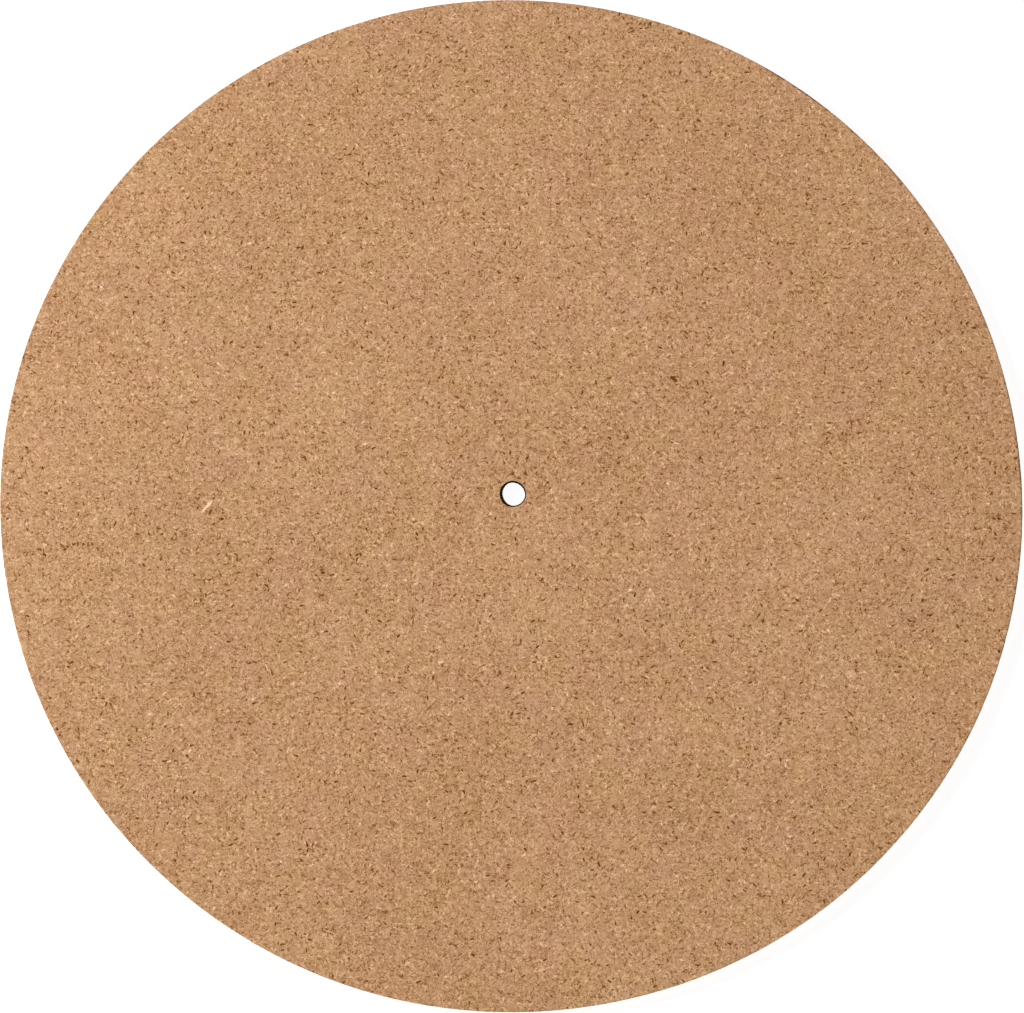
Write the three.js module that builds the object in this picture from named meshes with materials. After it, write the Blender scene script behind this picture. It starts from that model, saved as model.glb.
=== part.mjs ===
// A turntable platter mat: one disc cut from a sheet of agglomerated cork, with a hole for the
// spindle at its centre. It lies on the platter and carries the record.
//
// Millimetres, +Z up. The origin is the centre of the underside, which rests on the platter.

import * as THREE from "three";

// The disc.
const MAT_DIAMETER = 300;
const SHEET_THICKNESS = 3;

// The hole, which clears a spindle of 7.15 mm.
const SPINDLE_DIAMETER = 7.15;
const SPINDLE_CLEARANCE = 0.05;

// The cutter leaves the corners of the sheet slightly rounded.
const RIM_CORNER_RADIUS = 0.25;
const HOLE_CORNER_RADIUS = 0.1;

// How finely round shapes are drawn. A path's getPoints puts two steps on an arc for each one asked.
const STEPS_ROUND_THE_MAT = 240;
const HALF_STEPS_ROUND_A_CORNER = 2;

const CORK_COLOUR = "#bc9169";
const CORK_ROUGHNESS = 0.85;

const QUARTER_TURN = Math.PI / 2;

const holeDiameter = SPINDLE_DIAMETER + SPINDLE_CLEARANCE;

// Half of the section through the mat's axis: x is the distance from the axis and y the height.
// It runs round the cut sheet from the hole's wall along the underside, up the rim and back
// across the top, so that the turned surface faces outwards.
function sheetSection() {
  const holeWall = holeDiameter / 2;
  const rimWall = MAT_DIAMETER / 2;
  const rim = Math.min(RIM_CORNER_RADIUS, SHEET_THICKNESS / 2);
  const lip = Math.min(HOLE_CORNER_RADIUS, SHEET_THICKNESS / 2);

  const section = new THREE.Path();
  section.moveTo(holeWall, lip);
  section.absarc(holeWall + lip, lip, lip, 2 * QUARTER_TURN, 3 * QUARTER_TURN, false);
  section.lineTo(rimWall - rim, 0);
  section.absarc(rimWall - rim, rim, rim, -QUARTER_TURN, 0, false);
  section.lineTo(rimWall, SHEET_THICKNESS - rim);
  section.absarc(rimWall - rim, SHEET_THICKNESS - rim, rim, 0, QUARTER_TURN, false);
  section.lineTo(holeWall + lip, SHEET_THICKNESS);
  section.absarc(holeWall + lip, SHEET_THICKNESS - lip, lip, QUARTER_TURN, 2 * QUARTER_TURN, false);
  section.closePath();
  return section.getPoints(HALF_STEPS_ROUND_A_CORNER);
}

// The section turned about the mat's axis.
function platterMat() {
  const turned = new THREE.LatheGeometry(sheetSection(), STEPS_ROUND_THE_MAT);
  turned.rotateX(QUARTER_TURN);
  const cork = new THREE.MeshStandardMaterial({
    color: CORK_COLOUR,
    roughness: CORK_ROUGHNESS,
    metalness: 0,
  });
  const mat = new THREE.Mesh(turned, cork);
  mat.name = "platter_mat";
  return mat;
}

const group = new THREE.Group();
group.add(platterMat());

export default group;
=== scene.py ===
"""The look of a turntable platter mat: one disc of pressed cork granules with a spindle hole."""
import math
import random

import bmesh
import bpy
from mathutils import Matrix, Vector, noise


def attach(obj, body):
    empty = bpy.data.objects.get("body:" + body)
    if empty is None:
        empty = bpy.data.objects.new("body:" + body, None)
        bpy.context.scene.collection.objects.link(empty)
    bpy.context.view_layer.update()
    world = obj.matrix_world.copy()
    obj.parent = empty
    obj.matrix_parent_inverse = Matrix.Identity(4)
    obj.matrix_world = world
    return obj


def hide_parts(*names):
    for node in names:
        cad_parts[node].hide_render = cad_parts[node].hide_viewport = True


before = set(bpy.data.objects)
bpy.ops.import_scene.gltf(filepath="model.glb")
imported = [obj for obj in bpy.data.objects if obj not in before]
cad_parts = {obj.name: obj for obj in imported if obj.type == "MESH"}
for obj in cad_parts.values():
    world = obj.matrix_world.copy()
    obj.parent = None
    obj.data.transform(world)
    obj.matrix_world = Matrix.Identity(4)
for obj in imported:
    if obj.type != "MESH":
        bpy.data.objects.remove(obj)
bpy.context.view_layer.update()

MM = 0.001
FULL_TURN = 2 * math.pi

# The mat, in millimetres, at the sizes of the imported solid.
MAT_RADIUS = 150.0
SHEET_THICKNESS = 3.0
HOLE_RADIUS = 3.6
RIM_CORNER_RADIUS = 0.25
HOLE_CORNER_RADIUS = 0.1
CORNER_STEPS = 3
WALL_ROWS = 3

# Each face is a net of triangles in rings about the hole, with six points more in each ring.
HOLE_RING = 4
OUTER_RING = 62
NET_JITTER = 0.6
TOP_SEED = 11
UNDER_SEED = 12

# How often the net's open edges are cut before they turn down, and the width of the narrow flat strip
# inside the rim's corner, where the painted shadow on the rim's edge fades out.
RIM_CUTS = 3
HOLE_CUTS = 4
RIM_BAND = 0.35

# Nearer than this, two places in the sheet are the same.
NEAR = 0.001

# Open pores and lost granules in the ground faces: width of the mouth, depth, and number on a face.
PORES = [
    (0.30, 0.10, 420),
    (0.45, 0.16, 260),
    (0.65, 0.22, 60),
]
# As shares of its width: how ragged a pore's mouth is, and how much it narrows to each side.
PORE_RAGGED = 0.12
PORE_TAPER = 0.14

# How the cut edges wander from a true circle, and how deep granules have broken out of them. The chips
# at the hole's edge have only a share of that depth.
GRANULE_SIZE = 1.1
FINE_WANDER = 0.4
FINE_STEPS = 2.3
RIM_WANDER = 0.04
HOLE_WANDER = 0.03
CHIP_DEPTH = 0.25
CHIP_SPREAD = 0.8
CHIP_PLACES = Vector((31, 17, 5))
CHIP_LEVEL = 0.35
HOLE_CHIPS = 0.4

# Where the rim lies inside the true circle: turn of the middle, depth, and turn to each side, in degrees.
RIM_FLATS = [
    (185, 0.30, 140),
    (16, 0.70, 50),
    (70, 0.22, 35),
    (128, 0.24, 45),
    (195, 0.12, 20),
    (278, 0.24, 32),
]

# Stretches of the rim's edge and wall darkened with painted shadow, for the mat's shadow on the floor
# beside the edge: turn of the middle, turn to each side, and how dark.
RIM_SHADOW_STRETCHES = [
    (58, 3, 0.35),
    (53, 4, 0.45),
    (42, 14, 0.20),
    (27, 4, 0.12),
    (3, 4, 0.20),
]

# Painted shade in the hole: its wall and a ring of the faces round it are darkened, standing in for the
# shade and shadow there. The middle of the shaded disc, set a little off the hole's middle so that the ring
# is wider on that side, how far outside the wall the shade is full and where it ends, and the share of the
# colour left where it is full.
HOLE_SHADE_MIDDLE = (0.02, -0.12)
HOLE_SHADE_FULL = 0.22
HOLE_SHADE_END = 0.33
HOLE_SHADE_LEVEL = 0.03

# Marks that stand out on the top face: place, length, width, turn in degrees, and how much paler or darker.
MARKS = [
    # the pale splinter and the dark crack beside it
    (-89.35, -3.95, 5.0, 0.92, 48, 0.46),
    (-88.3, -5.4, 2.1, 0.7, 66, -0.28),
    # knots of dark bark
    (47.2, 34.6, 1.7, 1.2, 10, -0.31),
    (47.9, 33.8, 1.9, 1.1, -35, -0.30),
    (48.4, 32.5, 0.8, 0.6, 0, -0.30),
    (43.2, 30.8, 0.9, 0.7, 0, -0.36),
    (-84.8, -7.6, 1.2, 0.85, 15, -0.42),
    (-79.9, -23.3, 1.2, 0.9, 30, -0.34),
    (-55.5, -23.3, 1.2, 0.9, -20, -0.32),
    (0.0, 5.9, 1.5, 1.4, 0, -0.26),
    (3.9, 5.8, 1.8, 1.3, -30, -0.22),
    (3.4, 3.1, 0.8, 0.7, 0, -0.36),
    (-16.7, -0.6, 1.1, 0.9, 0, -0.30),
    (-15.1, 11.1, 1.1, 0.9, 45, -0.30),
    (28.5, 16.5, 1.1, 0.9, -45, -0.32),
    (12.7, -28.2, 1.2, 0.9, 20, -0.32),
    (97.8, -64.6, 2.2, 0.65, -45, -0.40),
    (96.4, -65.6, 1.1, 0.7, -15, -0.32),
    (98.0, -67.1, 0.9, 0.7, 0, -0.32),
    # pale granules and fibres
    (98.0, -53.2, 3.4, 3.0, 0, 0.12),
    (90.1, -64.0, 3.8, 0.55, 5, 0.22),
    (34.2, 48.1, 3.4, 0.55, 35, 0.20),
    (-70.3, 9.2, 1.4, 0.8, 30, 0.24),
]

# The pattern of the cork, in millimetres: the cells of granules and binder, and the swells of each noise.
GRANULE_CELL = 0.95
BINDER_CELL = 1.15
FINE_SIZE = 0.42
PATCH_SIZE = 6.0
DRIFT_SIZE = 60.0
BUSY_SIZE = 2.6
BREAK_SIZE = 1.0
CURL_SIZE = 1.1
TINT_SIZE = 10.0
NOISE_ROUGHNESS = 0.6
NOISE_MIDDLE = 0.5

# Granules are torn, not cut, so the borders of the cells are bent by a noise: its size, and how far it
# can push them from one side to the other.
TEAR_SIZE = 0.7
TEAR_REACH = 1.3

# Binder is darkest up to the first distance from a border and gone at the second, in shares of a cell.
# Where the noise of breaks is below the first level it is faint, and above the second it is full.
BINDER_LINE = (0.02, 0.17)
BINDER_SHOWN = (0.44, 0.62)
BINDER_FAINT = 0.1

# Pale curls lie where a noise is this near its middle, and show between these levels of breaks.
CURL_WIDTH = 0.06
CURL_SHOWN = (0.44, 0.60)

# Large granules: their spacing, in what share of its cells there is one, and as shares of the spacing
# the radius of the largest and the width of its soft edge.
LARGE_SPACING = 3.3
LARGE_SHARE = 0.32
LARGEST = 0.40
LARGE_EDGE = 0.07

# Long flakes of bark and pale cork. The soft edges of flakes and marks run between these shares of the
# way from their middle to their edge.
FLAKE_SPACING = 1.5
FLAKE_LENGTH = 1.7
FLAKE_WIDTH = 0.6
FLAKE_EDGE = (0.6, 1.1)
MARK_EDGE = (0.6, 1.15)

# The fine relief of the ground face.
BUMP_STRENGTH = 0.5
BUMP_HEIGHT = 0.06

# Torn cell walls scatter all light, so there is no gloss even at a low angle.
CORK_ROUGHNESS = 0.9
CORK_IOR = 1.45
CORK_SPECULAR = 0.0

# How much each part of the pattern makes the cork paler or darker, on the scale of its colours. Large
# granules are calmer inside, and the small ones between them are calm or busy from place to place.
MIDDLE_TONE = 0.52
GRANULE_TONE = 0.13
FINE_TONE = 0.525
BINDER_TONE = -0.20
CURL_TONE = 0.24
LARGE_TONE = 0.06
LARGE_CALM = -0.5
BUSY_RANGE = (0.38, 0.62)
CALM_CONTRAST = 0.75
BUSY_CONTRAST = 1.3
PATCH_TONE = 0.09
DRIFT_TONE = 0.08
FLAKE_TONE = 1.0
PORE_TONE = -0.12
RIM_WALL_TONE = -0.08
RIM_SHADOW_TONE = -1.0

# Most flakes are near the colour of the rest, and a few are much darker or paler: the share of the flakes
# up to that tone, and the tone, which is 0.5 where a flake doesn't show.
FLAKE_TONES = [
    (0.0, 0.08),
    (0.12, 0.40),
    (0.5, 0.5),
    (0.85, 0.58),
    (1.0, 0.78),
]

# The colours of cork along the tone, from bark to the palest cells.
CORK_COLOURS = [
    (0.0, "#5b320c"),
    (0.25, "#83531f"),
    (0.5, "#c1946d"),
    (0.75, "#e8bb91"),
    (0.88, "#f6cca4"),
    (1.0, "#fce9ce"),
]

# The colour is a little yellower or pinker from place to place: it is multiplied by the first of these,
# with a part of the second added.
TINT_LEAST = (1.0, 0.94, 0.873)
TINT_SPREAD = (0.0, 0.12, 0.24)

# Where the two faces lie on the map for baking, whose side is 1: centre and radius.
TOP_MAP = (0.337, 0.337, 0.334)
UNDER_MAP = (0.755, 0.755, 0.242)

# The camera, worked out from the outline of the mat in the photo.
CAMERA_PLACE = Vector((-14.48, -126.2, 845.5))
CAMERA_AIM = Vector((-0.23, -3.85, 3.0))
CAMERA_LENS = 102.34
CAMERA_SENSOR = 36.0
CAMERA_CLIP = 10.0

# A high key light from the left of the photo, a low side lamp beside it, and a weak even sky.
# The key's slant comes from the shadow in the hole.
KEY_FROM = Vector((-0.25, -0.13, 1.0))
KEY_STRENGTH = 2.57
KEY_ANGLE = math.radians(2.5)
SIDE_LAMP_PLACE = Vector((-650.0, 220.0, 330.0))
SIDE_LAMP_SIZE = 300.0
SIDE_LAMP_POWER = 2.2
SKY_STRENGTH = 0.02

# The floor is white paper. Seen directly it is brighter still, so that all but its shadows is white.
FLOOR_SIDE = 6000.0
PAPER_WHITE = 0.85
PAPER_SEEN = 1.2


def linear_colour(text):
    """An sRGB colour such as "#bc9169" as linear red, green and blue with a full alpha."""
    channels = [int(text[i:i + 2], 16) / 255 for i in (1, 3, 5)]
    linear = [c / 12.92 if c <= 0.04045 else ((c + 0.055) / 1.055) ** 2.4 for c in channels]
    return (*linear, 1.0)


def polar(radius, turn, height):
    return Vector((radius * math.cos(turn), radius * math.sin(turn), height))


def ring_and_turn(place):
    """The ring that a point of the hexagonal net belongs to, and the turn it gets on a round one."""
    sixth = FULL_TURN / 6
    turn = math.atan2(place.y, place.x) - sixth / 2
    side = math.floor(turn / sixth)
    from_middle = turn - (side + 0.5) * sixth
    reach = place.length * math.cos(from_middle) / math.cos(sixth / 2)
    along = 0.5 + math.tan(from_middle) / (2 * math.tan(sixth / 2))
    return round(reach * OUTER_RING), (side + along + 0.5) * sixth


def ring_radius(ring):
    inner = HOLE_RADIUS + HOLE_CORNER_RADIUS
    outer = MAT_RADIUS - RIM_CORNER_RADIUS - RIM_BAND
    return inner + (outer - inner) * (ring - HOLE_RING) / (OUTER_RING - HOLE_RING)


def boundary_loop(bm, outer):
    """The edges of the open edge at the rim, or of the one at the hole."""
    middle = MAT_RADIUS / 2
    return [e for e in bm.edges if e.is_boundary and (e.verts[0].co.xy.length > middle) == outer]


def open_net(chance):
    """A flat round net of triangles at height 0, open at the hole, with its points a little scattered."""
    bm = bmesh.new()
    bmesh.ops.create_circle(bm, cap_ends=True, cap_tris=True, segments=6, radius=1.0)
    bmesh.ops.subdivide_edges(bm, edges=bm.edges[:], cuts=OUTER_RING - 1, use_grid_fill=True)
    inside = []
    for vert in bm.verts:
        ring, turn = ring_and_turn(vert.co)
        if ring < HOLE_RING:
            inside.append(vert)
            continue
        vert.co = polar(ring_radius(ring), turn, 0.0)
        if HOLE_RING < ring < OUTER_RING:
            vert.co.x += chance.uniform(-NET_JITTER, NET_JITTER)
            vert.co.y += chance.uniform(-NET_JITTER, NET_JITTER)
    bmesh.ops.delete(bm, geom=inside, context="VERTS")
    return bm


def open_pores(bm, chance):
    """Sinks pores at points of the net that have no pore beside them, and marks their floors in a layer."""
    pore = bm.verts.layers.float.new("pore")
    free = [v for v in bm.verts if not any(e.is_boundary for f in v.link_faces for e in f.edges)]
    chance.shuffle(free)
    taken = set()
    for width, depth, number in PORES:
        chosen = []
        while free and len(chosen) < number:
            vert = free.pop()
            around = {e.other_vert(vert) for e in vert.link_edges}
            if vert in taken or around & taken:
                continue
            taken.add(vert)
            taken |= around
            chosen.append(vert)
        made = bmesh.ops.bevel(
            bm, geom=chosen, offset=width / 2, offset_type="OFFSET", segments=1, profile=0.5,
            affect="VERTICES", material=-1)
        # A mouth has a corner for each edge of its point. The triangles cut by one have four corners.
        mouths = [f for f in made["faces"] if len(f.verts) > 4]
        for mouth in mouths:
            for vert in mouth.verts:
                vert.co.x += chance.uniform(-PORE_RAGGED, PORE_RAGGED) * width
                vert.co.y += chance.uniform(-PORE_RAGGED, PORE_RAGGED) * width
        bmesh.ops.inset_individual(
            bm, faces=mouths, thickness=width * PORE_TAPER, depth=-depth, use_even_offset=True)
        for floor in mouths:
            for vert in floor.verts:
                vert[pore] = 1.0


def cut_wall(bm, outer):
    """Turns the sheet's open edge down over its rounded corner to the middle of its thickness."""
    cuts = RIM_CUTS if outer else HOLE_CUTS
    corner = RIM_CORNER_RADIUS if outer else HOLE_CORNER_RADIUS
    wall = MAT_RADIUS if outer else HOLE_RADIUS
    inward = -1 if outer else 1
    bmesh.ops.subdivide_edges(bm, edges=boundary_loop(bm, outer), cuts=cuts)
    section = [(MAT_RADIUS - RIM_CORNER_RADIUS - RIM_BAND, 0.0)] if outer else []
    for step in range(CORNER_STEPS + 1):
        turn = step / CORNER_STEPS * FULL_TURN / 4
        section.append((wall + inward * corner * (1 - math.sin(turn)), corner * (math.cos(turn) - 1)))
    for row in range(1, WALL_ROWS + 1):
        section.append((wall, -corner - (SHEET_THICKNESS / 2 - corner) * row / WALL_ROWS))
    loop = boundary_loop(bm, outer)
    place_loop(loop, *section[0])
    for radius, height in section[1:]:
        made = bmesh.ops.extrude_edge_only(bm, edges=loop)["geom"]
        loop = [g for g in made if isinstance(g, bmesh.types.BMEdge)]
        place_loop(loop, radius, height)


def place_loop(loop, radius, height):
    for vert in {v for e in loop for v in e.verts}:
        vert.co = polar(radius, math.atan2(vert.co.y, vert.co.x), height)


def half_sheet(seed):
    """One face of the mat with half of each cut wall, facing up, with its flat face at height 0."""
    chance = random.Random(seed)
    bm = open_net(chance)
    open_pores(bm, chance)
    cut_wall(bm, outer=True)
    cut_wall(bm, outer=False)
    bmesh.ops.recalc_face_normals(bm, faces=bm.faces[:])
    if sum(f.normal.z * f.calc_area() for f in bm.faces) < 0:
        bmesh.ops.reverse_faces(bm, faces=bm.faces[:])
    return bm


def whole_sheet():
    """The two halves joined at the middle of the cut walls. The under layer marks the lower half's faces."""
    sheet = half_sheet(TOP_SEED)
    bmesh.ops.translate(sheet, verts=sheet.verts[:], vec=(0, 0, SHEET_THICKNESS))
    lower = half_sheet(UNDER_SEED)
    bmesh.ops.scale(lower, verts=lower.verts[:], vec=(1, 1, -1))
    bmesh.ops.reverse_faces(lower, faces=lower.faces[:])
    carrier = bpy.data.meshes.new("lower_half")
    lower.to_mesh(carrier)
    lower.free()
    upper_faces = len(sheet.faces)
    sheet.from_mesh(carrier)
    bpy.data.meshes.remove(carrier)
    under = sheet.faces.layers.int.new("under")
    sheet.faces.ensure_lookup_table()
    for face in sheet.faces[upper_faces:]:
        face[under] = 1
    # A dictionary keeps the order that a set would lose, so the points have the same order each run.
    seam = dict.fromkeys(v for e in sheet.edges if e.is_boundary for v in e.verts)
    bmesh.ops.remove_doubles(sheet, verts=list(seam), dist=NEAR)
    sheet.normal_update()
    return sheet


def on_cut(vert):
    """1 on the rim's wall and corner, -1 on the hole's, and 0 on the flat faces."""
    reach = vert.co.xy.length
    if reach > MAT_RADIUS - RIM_CORNER_RADIUS - NEAR:
        return 1
    if reach < HOLE_RADIUS + HOLE_CORNER_RADIUS + NEAR:
        return -1
    return 0


def swell(turn, middle, reach):
    """1 at the middle of a stretch of the rim, falling smoothly to 0 at that many degrees to each side."""
    off = abs((math.degrees(turn) - middle + 180) % 360 - 180)
    return (1 + math.cos(math.pi * min(off / reach, 1.0))) / 2


def flat_shift(vert):
    """How the flats of the rim move a point of its wall, corner or narrow strip."""
    if vert.co.xy.length < MAT_RADIUS - RIM_CORNER_RADIUS - RIM_BAND - NEAR:
        return Vector()
    turn = math.atan2(vert.co.y, vert.co.x)
    inward = sum(depth * swell(turn, middle, reach) for middle, depth, reach in RIM_FLATS)
    return -polar(inward, turn, 0.0)


def torn_depth(vert, wander, chips):
    """How far a point of a cut wall lies behind a clean cut."""
    place = vert.co / GRANULE_SIZE
    depth = wander * (1 + noise.noise(place) + FINE_WANDER * noise.noise(place * FINE_STEPS))
    torn = noise.noise(place * CHIP_SPREAD + CHIP_PLACES)
    return max(depth + CHIP_DEPTH * max(0.0, torn - CHIP_LEVEL) * chips, 0.0)


def roughen_cuts(bm):
    """Pushes the cut walls in by a little more and less, and breaks granules out of them."""
    moves = {}
    for vert in bm.verts:
        moves[vert] = flat_shift(vert)
        if on_cut(vert) > 0:
            moves[vert] -= torn_depth(vert, RIM_WANDER, 1.0) * vert.normal
        if on_cut(vert) < 0:
            moves[vert] -= torn_depth(vert, HOLE_WANDER, HOLE_CHIPS) * vert.normal
    for vert, move in moves.items():
        vert.co += move


def mark_rim(bm):
    """The layer rim_wall, 1 on the rim's wall, and a layer of painted shadow, how dark the rim's edge and
    wall are painted.
    """
    rim = bm.verts.layers.float.new("rim_wall")
    shadow_layer = bm.verts.layers.float.new("painted_rim_shadow")
    for vert in bm.verts:
        if on_cut(vert) > 0:
            below = min(vert.co.z, SHEET_THICKNESS - vert.co.z)
            turn = math.atan2(vert.co.y, vert.co.x)
            vert[rim] = min(1.0, below / RIM_CORNER_RADIUS) ** 2
            vert[shadow_layer] = sum(dark * swell(turn, middle, reach) for middle, reach, dark in RIM_SHADOW_STRETCHES)


def lay_out_map(bm):
    """Lays each face of the mat flat on the map, with its half of each wall spread on past the edge."""
    layer = bm.loops.layers.uv.new("OFBake")
    under = bm.faces.layers.int["under"]
    for face in bm.faces:
        side, top = (-1, 0.0) if face[under] else (1, SHEET_THICKNESS)
        centre_u, centre_v, radius = UNDER_MAP if face[under] else TOP_MAP
        scale = radius / (MAT_RADIUS + SHEET_THICKNESS / 2)
        for corner in face.loops:
            place = corner.vert.co
            reach = place.xy.length + on_cut(corner.vert) * abs(top - place.z)
            turn = math.atan2(place.y, place.x) * side
            corner[layer].uv = (
                centre_u + scale * reach * math.cos(turn),
                centre_v + scale * reach * math.sin(turn))


def sort_faces(bm):
    """Puts the faces in the order of their points, because the pores' operators vary it from run to run."""
    bm.verts.index_update()
    number = len(bm.verts)

    def rank(face):
        first, second, third = sorted(v.index for v in face.verts)[:3]
        return (first * number + second) * number + third

    bm.faces.sort(key=rank)


def make_mat():
    bm = whole_sheet()
    mark_rim(bm)
    lay_out_map(bm)
    for face in bm.faces:
        cut = any(on_cut(v) for v in face.verts)
        level = all(v.co.z < NEAR or v.co.z > SHEET_THICKNESS - NEAR for v in face.verts)
        face.smooth = cut and not level
    roughen_cuts(bm)
    sort_faces(bm)
    bmesh.ops.scale(bm, verts=bm.verts[:], vec=(MM, MM, MM))
    mesh = bpy.data.meshes.new("cork_mat")
    bm.to_mesh(mesh)
    bm.free()
    mat = bpy.data.objects.new("cork_mat", mesh)
    bpy.context.scene.collection.objects.link(mat)
    return mat


def add_node(tree, kind, settings=None, inputs=None):
    """Adds one node, sets its properties, and sets its inputs or links them to the sockets given."""
    node = tree.nodes.new(kind)
    for name, value in (settings or {}).items():
        setattr(node, name, value)
    for name, value in (inputs or {}).items():
        if isinstance(value, bpy.types.NodeSocket):
            tree.links.new(value, node.inputs[name])
        else:
            node.inputs[name].default_value = value
    return node


def bent_place(tree, mm):
    """The place in millimetres, bent so that cells read from it have torn borders."""
    bend = add_node(tree, "ShaderNodeTexNoise", {}, {"Vector": mm, "Scale": 1 / TEAR_SIZE, "Detail": 1.0})
    centred = add_node(tree, "ShaderNodeVectorMath", {"operation": "SUBTRACT"}, {
        0: bend.outputs["Color"], 1: (NOISE_MIDDLE, NOISE_MIDDLE, NOISE_MIDDLE)})
    return add_node(tree, "ShaderNodeVectorMath", {"operation": "MULTIPLY_ADD"}, {
        0: centred.outputs[0], 1: (TEAR_REACH, TEAR_REACH, TEAR_REACH), 2: mm}).outputs[0]


def add_tone(tree, total, change, weight, middle=0.0):
    """The running tone with weight times (change - middle) added."""
    centred = add_node(tree, "ShaderNodeMath", {"operation": "SUBTRACT"}, {0: change, 1: middle})
    return add_node(tree, "ShaderNodeMath", {"operation": "MULTIPLY_ADD"}, {
        0: centred.outputs[0], 1: weight, 2: total}).outputs[0]


def dark_gaps(tree, place, breaks):
    """Dark binder round a second, slightly larger net of granules, strongest where breaks is high."""
    borders = add_node(tree, "ShaderNodeTexVoronoi", {"feature": "DISTANCE_TO_EDGE"}, {
        "Vector": place, "Scale": 1 / BINDER_CELL})
    line = add_node(tree, "ShaderNodeMapRange", {}, {
        "Value": borders.outputs["Distance"], "From Min": BINDER_LINE[0], "From Max": BINDER_LINE[1],
        "To Min": 1.0, "To Max": 0.0})
    shown = add_node(tree, "ShaderNodeMapRange", {}, {
        "Value": breaks, "From Min": BINDER_SHOWN[0], "From Max": BINDER_SHOWN[1],
        "To Min": BINDER_FAINT, "To Max": 1.0})
    return add_node(tree, "ShaderNodeMath", {"operation": "MULTIPLY"}, {
        0: line.outputs[0], 1: shown.outputs[0]}).outputs[0]


def pale_curls(tree, place, breaks):
    """Thin curling pale edges of cork cells, where a noise passes its middle and breaks is high."""
    swirl = add_node(tree, "ShaderNodeTexNoise", {}, {
        "Vector": place, "Scale": 1 / CURL_SIZE, "Detail": 1.0})
    level = add_node(tree, "ShaderNodeMath", {"operation": "SUBTRACT"}, {
        0: swirl.outputs[0], 1: NOISE_MIDDLE})
    off_line = add_node(tree, "ShaderNodeMath", {"operation": "ABSOLUTE"}, {0: level.outputs[0]})
    line = add_node(tree, "ShaderNodeMapRange", {}, {
        "Value": off_line.outputs[0], "From Min": 0.0, "From Max": CURL_WIDTH,
        "To Min": 1.0, "To Max": 0.0})
    shown = add_node(tree, "ShaderNodeMapRange", {}, {
        "Value": breaks, "From Min": CURL_SHOWN[0], "From Max": CURL_SHOWN[1],
        "To Min": 0.0, "To Max": 1.0})
    return add_node(tree, "ShaderNodeMath", {"operation": "MULTIPLY"}, {
        0: line.outputs[0], 1: shown.outputs[0]}).outputs[0]


def scattered_spots(tree, place, spacing, share, largest, edge):
    """Spots of many sizes, in that share of the cells. largest and edge are shares of the spacing."""
    cells = add_node(tree, "ShaderNodeTexVoronoi", {}, {"Vector": place, "Scale": 1 / spacing})
    kind = add_node(tree, "ShaderNodeSeparateColor", {}, {0: cells.outputs["Color"]})
    size = add_node(tree, "ShaderNodeMapRange", {}, {
        "Value": kind.outputs[0], "From Min": 1 - share, "From Max": 1.0,
        "To Min": 0.0, "To Max": largest})
    inside = add_node(tree, "ShaderNodeMath", {"operation": "SUBTRACT"}, {
        0: size.outputs[0], 1: cells.outputs["Distance"]})
    return add_node(tree, "ShaderNodeMapRange", {}, {
        "Value": inside.outputs[0], "From Min": 0.0, "From Max": edge,
        "To Min": 0.0, "To Max": 1.0}).outputs[0]


def fill_ramp(ramp, stops):
    """Gives a colour ramp its stops, each a position and a linear colour."""
    elements = ramp.color_ramp.elements
    for position, colour in stops[1:-1]:
        elements.new(position)
    for element, (position, colour) in zip(elements, stops):
        element.position = position
        element.color = colour


def scattered_flakes(tree, place):
    """Long flakes turned every way, one in a cell: bark is below 0, and pale cork above it."""
    cells = add_node(tree, "ShaderNodeTexVoronoi", {}, {"Vector": place, "Scale": 1 / FLAKE_SPACING})
    kind = add_node(tree, "ShaderNodeSeparateColor", {}, {0: cells.outputs["Color"]})
    local = add_node(tree, "ShaderNodeVectorMath", {"operation": "SUBTRACT"}, {
        0: place, 1: cells.outputs["Position"]})
    turn = add_node(tree, "ShaderNodeMath", {"operation": "MULTIPLY"}, {0: kind.outputs[0], 1: math.pi})
    turned = add_node(tree, "ShaderNodeVectorRotate", {"rotation_type": "Z_AXIS"}, {
        "Vector": local.outputs[0], "Angle": turn.outputs[0]})
    shaped = add_node(tree, "ShaderNodeVectorMath", {"operation": "MULTIPLY"}, {
        0: turned.outputs[0], 1: (2 / FLAKE_LENGTH, 2 / FLAKE_WIDTH, 2 / FLAKE_LENGTH)})
    reach = add_node(tree, "ShaderNodeVectorMath", {"operation": "LENGTH"}, {0: shaped.outputs[0]})
    inside = add_node(tree, "ShaderNodeMapRange", {}, {
        "Value": reach.outputs["Value"], "From Min": FLAKE_EDGE[0], "From Max": FLAKE_EDGE[1],
        "To Min": 1.0, "To Max": 0.0})
    tone = add_node(tree, "ShaderNodeValToRGB", {}, {0: kind.outputs[1]})
    fill_ramp(tone, [(share, (level, level, level, 1.0)) for share, level in FLAKE_TONES])
    change = add_node(tree, "ShaderNodeMath", {"operation": "SUBTRACT"}, {0: tone.outputs[0], 1: 0.5})
    return add_node(tree, "ShaderNodeMath", {"operation": "MULTIPLY"}, {
        0: change.outputs[0], 1: inside.outputs[0]}).outputs[0]


def add_mark(tree, total, place, mark):
    """One knot, granule, crack or splinter: an ellipse with soft edges, in the top face alone."""
    x, y, length, width, turn, change = mark
    local = add_node(tree, "ShaderNodeMapping", {"vector_type": "TEXTURE"}, {
        "Vector": place, "Location": (x, y, SHEET_THICKNESS), "Rotation": (0, 0, math.radians(turn)),
        "Scale": (length / 2, width / 2, SHEET_THICKNESS / 3)})
    reach = add_node(tree, "ShaderNodeVectorMath", {"operation": "LENGTH"}, {0: local.outputs[0]})
    inside = add_node(tree, "ShaderNodeMapRange", {}, {
        "Value": reach.outputs["Value"], "From Min": MARK_EDGE[0], "From Max": MARK_EDGE[1],
        "To Min": change, "To Max": 0.0})
    return add_node(tree, "ShaderNodeMath", {"operation": "ADD"}, {
        0: inside.outputs[0], 1: total}).outputs[0]


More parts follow.
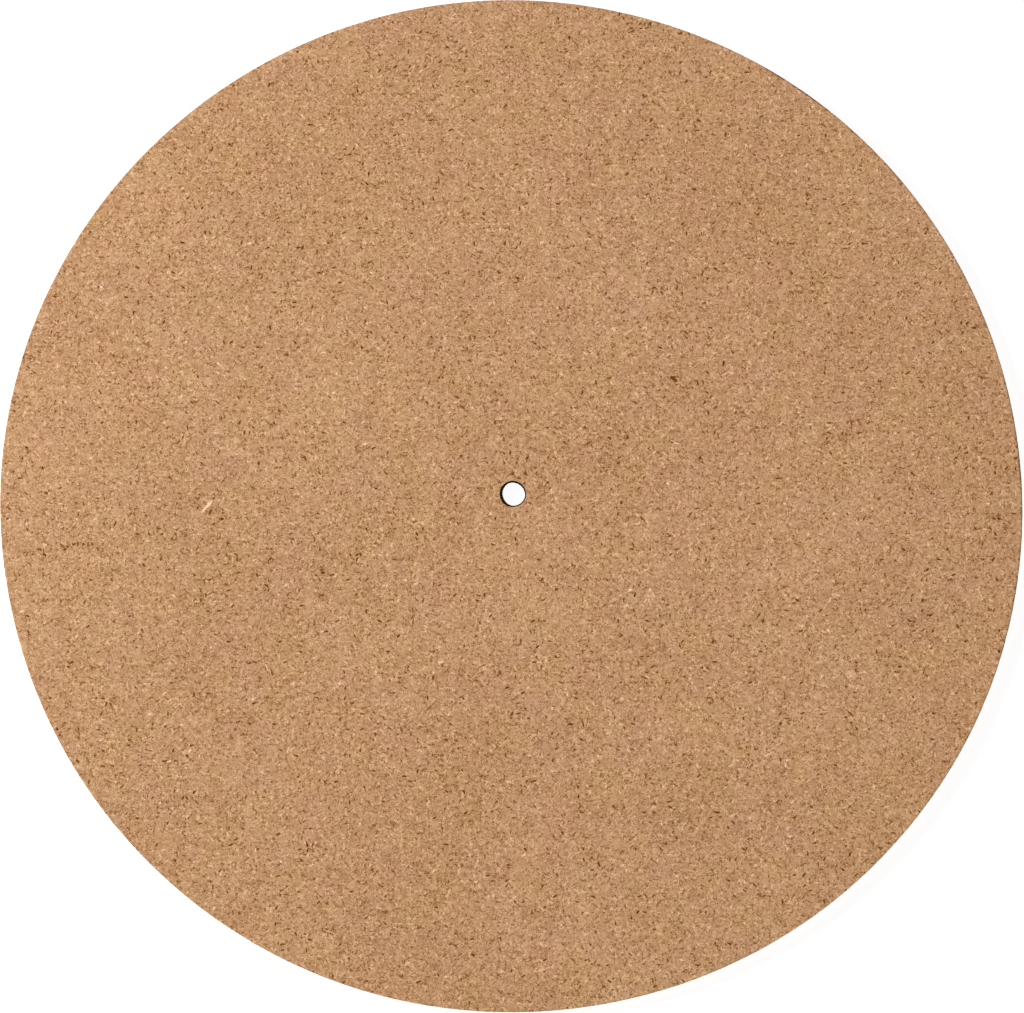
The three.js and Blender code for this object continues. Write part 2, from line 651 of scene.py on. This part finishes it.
def tinted(tree, mm, colour):
    """The colour, a little pinker or yellower from place to place."""
    drift = add_node(tree, "ShaderNodeTexNoise", {}, {"Vector": mm, "Scale": 1 / TINT_SIZE, "Detail": 1.0})
    tint = add_node(tree, "ShaderNodeVectorMath", {"operation": "MULTIPLY_ADD"}, {
        0: drift.outputs["Color"], 1: TINT_SPREAD, 2: TINT_LEAST})
    return add_node(tree, "ShaderNodeVectorMath", {"operation": "MULTIPLY"}, {
        0: colour, 1: tint.outputs[0]}).outputs[0]


def painted_hole_shade(tree, mm):
    """1 elsewhere, and the painted shade's level on the wall and edge of the hole, which are darkened to
    stand in for the shade and shadow there.
    """
    off_x, off_y = HOLE_SHADE_MIDDLE
    flat = add_node(tree, "ShaderNodeVectorMath", {"operation": "MULTIPLY_ADD"}, {
        0: mm, 1: (1.0, 1.0, 0.0), 2: (-off_x, -off_y, 0.0)})
    reach = add_node(tree, "ShaderNodeVectorMath", {"operation": "LENGTH"}, {0: flat.outputs[0]})
    return add_node(tree, "ShaderNodeMapRange", {}, {
        "Value": reach.outputs["Value"],
        "From Min": HOLE_RADIUS + HOLE_SHADE_FULL, "From Max": HOLE_RADIUS + HOLE_SHADE_END,
        "To Min": HOLE_SHADE_LEVEL, "To Max": 1.0}).outputs[0]


def pressed_cork():
    """Agglomerated cork, pressed and ground: matt light brown granules of about a millimetre with darker
    binder between them, pale cell edges, long flakes of dark bark and pale cork, and open pores that are
    a little darker than the rest."""
    material = bpy.data.materials.new("agglomerated_cork")
    material.use_nodes = True
    tree = material.node_tree
    tree.nodes.clear()
    where = add_node(tree, "ShaderNodeTexCoord")
    mm = add_node(tree, "ShaderNodeMapping", {}, {
        "Vector": where.outputs["Object"], "Scale": (1 / MM, 1 / MM, 1 / MM)}).outputs[0]
    torn = bent_place(tree, mm)

    granules = add_node(tree, "ShaderNodeTexVoronoi", {}, {"Vector": torn, "Scale": 1 / GRANULE_CELL})
    granule_kind = add_node(tree, "ShaderNodeSeparateColor", {}, {0: granules.outputs["Color"]})
    fine = add_node(tree, "ShaderNodeTexNoise", {}, {
        "Vector": mm, "Scale": 1 / FINE_SIZE, "Detail": 1.0, "Roughness": NOISE_ROUGHNESS}).outputs[0]
    patches = add_node(tree, "ShaderNodeTexNoise", {}, {
        "Vector": mm, "Scale": 1 / PATCH_SIZE, "Detail": 3.0, "Roughness": NOISE_ROUGHNESS}).outputs[0]
    drift = add_node(tree, "ShaderNodeTexNoise", {}, {
        "Vector": mm, "Scale": 1 / DRIFT_SIZE, "Detail": 1.0}).outputs[0]
    busy = add_node(tree, "ShaderNodeTexNoise", {}, {
        "Vector": torn, "Scale": 1 / BUSY_SIZE, "Detail": 1.0}).outputs[0]
    breaks = add_node(tree, "ShaderNodeTexNoise", {}, {
        "Vector": mm, "Scale": 1 / BREAK_SIZE, "Detail": 1.0})
    break_kind = add_node(tree, "ShaderNodeSeparateColor", {}, {0: breaks.outputs["Color"]})

    total = add_tone(tree, 0.0, granule_kind.outputs[0], GRANULE_TONE, NOISE_MIDDLE)
    total = add_tone(tree, total, fine, FINE_TONE, NOISE_MIDDLE)
    gaps = dark_gaps(tree, torn, break_kind.outputs[0])
    total = add_tone(tree, total, gaps, BINDER_TONE)
    curls = pale_curls(tree, mm, break_kind.outputs[1])
    total = add_tone(tree, total, curls, CURL_TONE)
    contrast = add_node(tree, "ShaderNodeMapRange", {}, {
        "Value": busy, "From Min": BUSY_RANGE[0], "From Max": BUSY_RANGE[1],
        "To Min": CALM_CONTRAST, "To Max": BUSY_CONTRAST})
    large = scattered_spots(tree, torn, LARGE_SPACING, LARGE_SHARE, LARGEST, LARGE_EDGE)
    smooth = add_node(tree, "ShaderNodeMath", {"operation": "MULTIPLY_ADD"}, {
        0: large, 1: LARGE_CALM, 2: 1.0})
    for scale in (contrast, smooth):
        total = add_node(tree, "ShaderNodeMath", {"operation": "MULTIPLY"}, {
            0: total, 1: scale.outputs[0]}).outputs[0]
    total = add_tone(tree, total, large, LARGE_TONE)
    total = add_tone(tree, total, patches, PATCH_TONE, NOISE_MIDDLE)
    total = add_tone(tree, total, drift, DRIFT_TONE, NOISE_MIDDLE)
    total = add_tone(tree, total, scattered_flakes(tree, mm), FLAKE_TONE)
    total = add_node(tree, "ShaderNodeMath", {"operation": "ADD"}, {0: total, 1: MIDDLE_TONE}).outputs[0]

    pore = add_node(tree, "ShaderNodeAttribute", {"attribute_name": "pore"})
    total = add_tone(tree, total, pore.outputs["Fac"], PORE_TONE)
    rim = add_node(tree, "ShaderNodeAttribute", {"attribute_name": "rim_wall"})
    total = add_tone(tree, total, rim.outputs["Fac"], RIM_WALL_TONE)
    # Painted shadow: stretches of the rim's edge and wall are darkened.
    shadow_layer = add_node(tree, "ShaderNodeAttribute", {"attribute_name": "painted_rim_shadow"})
    total = add_tone(tree, total, shadow_layer.outputs["Fac"], RIM_SHADOW_TONE)
    for mark in MARKS:
        total = add_mark(tree, total, mm, mark)

    ramp = add_node(tree, "ShaderNodeValToRGB", {}, {0: total})
    fill_ramp(ramp, [(tone, linear_colour(colour)) for tone, colour in CORK_COLOURS])
    bump = add_node(tree, "ShaderNodeBump", {}, {
        "Strength": BUMP_STRENGTH, "Distance": BUMP_HEIGHT * MM, "Height": fine})
    # Painted shade: the colour is darkened on the hole's wall and on a ring of the faces round it.
    colour = add_node(tree, "ShaderNodeVectorMath", {"operation": "SCALE"}, {
        0: tinted(tree, mm, ramp.outputs[0]), "Scale": painted_hole_shade(tree, mm)})
    cork = add_node(tree, "ShaderNodeBsdfPrincipled", {}, {
        "Base Color": colour.outputs[0], "Normal": bump.outputs[0],
        "Roughness": CORK_ROUGHNESS, "IOR": CORK_IOR, "Specular IOR Level": CORK_SPECULAR})
    add_node(tree, "ShaderNodeOutputMaterial", {}, {0: cork.outputs[0]})
    return material


def seen_directly(tree):
    """1 for rays from the camera and their reflections and refractions, and 0 for all other light."""
    ray = add_node(tree, "ShaderNodeLightPath")
    seen = add_node(tree, "ShaderNodeMath", {"operation": "MAXIMUM"}, {
        0: ray.outputs["Is Camera Ray"], 1: ray.outputs["Is Glossy Ray"]})
    return add_node(tree, "ShaderNodeMath", {"operation": "MAXIMUM"}, {
        0: seen.outputs[0], 1: ray.outputs["Is Transmission Ray"]}).outputs[0]


def make_floor():
    bm = bmesh.new()
    bmesh.ops.create_grid(bm, x_segments=1, y_segments=1, size=FLOOR_SIDE / 2 * MM)
    mesh = bpy.data.meshes.new("floor")
    bm.to_mesh(mesh)
    bm.free()
    material = bpy.data.materials.new("white_paper")
    material.use_nodes = True
    tree = material.node_tree
    tree.nodes.clear()
    white = add_node(tree, "ShaderNodeMapRange", {}, {
        "Value": seen_directly(tree), "To Min": PAPER_WHITE, "To Max": PAPER_SEEN})
    paper = add_node(tree, "ShaderNodeBsdfDiffuse", {}, {"Color": white.outputs[0]})
    add_node(tree, "ShaderNodeOutputMaterial", {}, {0: paper.outputs[0]})
    mesh.materials.append(material)
    floor = bpy.data.objects.new("floor", mesh)
    bpy.context.scene.collection.objects.link(floor)
    return floor


def make_sky():
    world = bpy.data.worlds.new("studio")
    bpy.context.scene.world = world
    world.use_nodes = True
    tree = world.node_tree
    tree.nodes.clear()
    strength = add_node(tree, "ShaderNodeMapRange", {}, {
        "Value": seen_directly(tree), "To Min": SKY_STRENGTH, "To Max": 1.0})
    sky = add_node(tree, "ShaderNodeBackground", {}, {"Strength": strength.outputs[0]})
    add_node(tree, "ShaderNodeOutputWorld", {}, {0: sky.outputs[0]})


def make_lights():
    key = bpy.data.lights.new("key_light", "SUN")
    key.energy = KEY_STRENGTH
    key.angle = KEY_ANGLE
    key_holder = bpy.data.objects.new("key_light", key)
    key_holder.location = KEY_FROM
    key_holder.rotation_euler = (-KEY_FROM).to_track_quat("-Z", "Y").to_euler()
    side = bpy.data.lights.new("side_lamp", "AREA")
    side.shape = "DISK"
    side.size = SIDE_LAMP_SIZE * MM
    side.energy = SIDE_LAMP_POWER
    side_holder = bpy.data.objects.new("side_lamp", side)
    side_holder.location = SIDE_LAMP_PLACE * MM
    side_holder.rotation_euler = (-SIDE_LAMP_PLACE).to_track_quat("-Z", "Y").to_euler()
    for holder in (key_holder, side_holder):
        bpy.context.scene.collection.objects.link(holder)


def make_camera():
    camera = bpy.data.cameras.new("camera")
    camera.lens = CAMERA_LENS
    camera.sensor_width = CAMERA_SENSOR
    camera.clip_start = CAMERA_CLIP * MM
    holder = bpy.data.objects.new("camera", camera)
    back = (CAMERA_PLACE - CAMERA_AIM).normalized()
    up = Vector((0, back.z, -back.y)).normalized()
    right = up.cross(back)
    turned = Matrix((right, up, back)).transposed().to_4x4()
    holder.matrix_world = Matrix.Translation(CAMERA_PLACE * MM) @ turned
    bpy.context.scene.collection.objects.link(holder)
    bpy.context.scene.camera = holder


bpy.context.scene.view_settings.view_transform = "Standard"
mat = make_mat()
mat.data.materials.append(pressed_cork())
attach(mat, "root")
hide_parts("platter_mat")
floor = make_floor()
make_sky()
make_lights()
make_camera()
